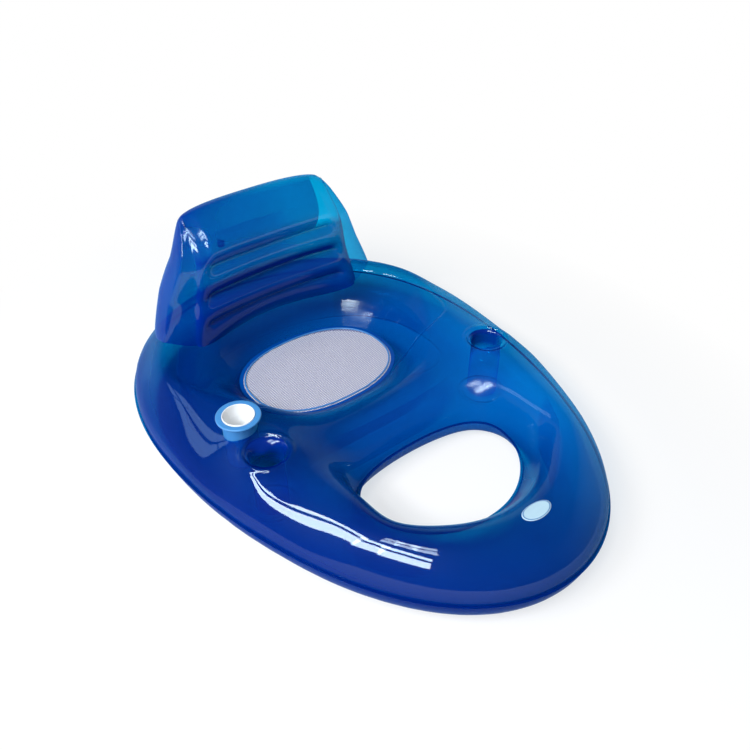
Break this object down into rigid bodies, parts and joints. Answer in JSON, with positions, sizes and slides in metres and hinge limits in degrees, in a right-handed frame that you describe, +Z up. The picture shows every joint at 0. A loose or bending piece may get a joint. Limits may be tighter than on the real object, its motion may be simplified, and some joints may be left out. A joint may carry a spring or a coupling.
{
  "type": "inflatable pool chair",
  "caption": "Egg-shaped inflatable pool chair with a ribbed backrest, a mesh seat, a leg opening, cup wells in the arms and a flanged cup holder beside one of them.",
  "frame": {"origin": "on the surface the chair rests on, under the middle of the hull's plan", "axes": "+Z up, +Y from the foot roll to the backrest, +X to the sitter's left"},
  "size_m": [1.0734, 1.5, 0.519],
  "materials": {
    "blue_film": "glossy translucent blue vinyl film",
    "cyan_vinyl": "glossy moulded vinyl",
    "lilac_net": "matt woven net",
    "white_plastic": "glossy",
    "clear_vinyl": "clear moulded vinyl"
  },
  "bodies": {
    "hull": {"hull_upper_skin": "blue_film", "hull_lower_skin": "blue_film", "crossbar_strip_front": "blue_film", "crossbar_strip_rear": "blue_film", "seat_side_strip_left": "blue_film", "seat_side_strip_right": "blue_film", "leg_side_strip_left": "blue_film", "leg_side_strip_right": "blue_film", "cup_well_sleeve_left": "blue_film", "cup_well_sleeve_right": "blue_film", "cup_well_floor_left": "blue_film", "cup_well_floor_right": "blue_film", "cup_socket_sleeve": "blue_film", "cup_socket_floor": "blue_film", "cup_holder": "cyan_vinyl", "seat_mesh": "lilac_net", "mesh_welt": "cyan_vinyl", "oval_label": "white_plastic", "hull_valve_body": "clear_vinyl"},
    "backrest": {"backrest_front_panel": "blue_film", "backrest_rear_panel": "blue_film", "backrest_strip_1": "blue_film", "backrest_strip_2": "blue_film", "backrest_strip_3": "blue_film", "backrest_valve_body": "clear_vinyl"},
    "cup_liner": {"cup_liner": "white_plastic"},
    "hull_stopper": {"hull_valve_stopper": "clear_vinyl"},
    "hull_flap": {"hull_valve_flap": "clear_vinyl"},
    "backrest_stopper": {"backrest_valve_stopper": "clear_vinyl"},
    "backrest_flap": {"backrest_valve_flap": "clear_vinyl"}
  },
  "joints": [
    {"name": "backrest_lean", "type": "hinge", "parent": "hull", "child": "backrest", "pos_m": [0, 0.629, 0.19], "axis": [1, 0, 0], "range_deg": [-12, 0], "stiffness_Nm_per_rad": 25},
    {"name": "cup_liner_lift", "type": "slide", "parent": "hull", "child": "cup_liner", "axis": [0, 0, 1], "range_m": [0, 0.14]},
    {"name": "hull_stopper_pull", "type": "slide", "parent": "hull", "child": "hull_stopper", "axis": [0.0405, 0.5423, 0.8392], "range_m": [0, 0.012]},
    {"name": "hull_flap_swing", "type": "hinge", "parent": "hull", "child": "hull_flap", "pos_m": [0.0328, 0.67514, 0.15961], "axis": [0.0626, 0.8369, -0.5438], "range_deg": [0, 45], "stiffness_Nm_per_rad": 0.0005, "springref_deg": -17.19},
    {"name": "backrest_stopper_pull", "type": "slide", "parent": "backrest", "child": "backrest_stopper", "axis": [-0.0265, 0.9764, 0.2142], "range_m": [0, 0.012]},
    {"name": "backrest_flap_swing", "type": "hinge", "parent": "backrest", "child": "backrest_flap", "pos_m": [-0.07536, 0.61004, 0.3311], "axis": [-0.0058, 0.2142, -0.9768], "range_deg": [0, 45], "stiffness_Nm_per_rad": 0.0005, "springref_deg": -17.19}
  ]
}
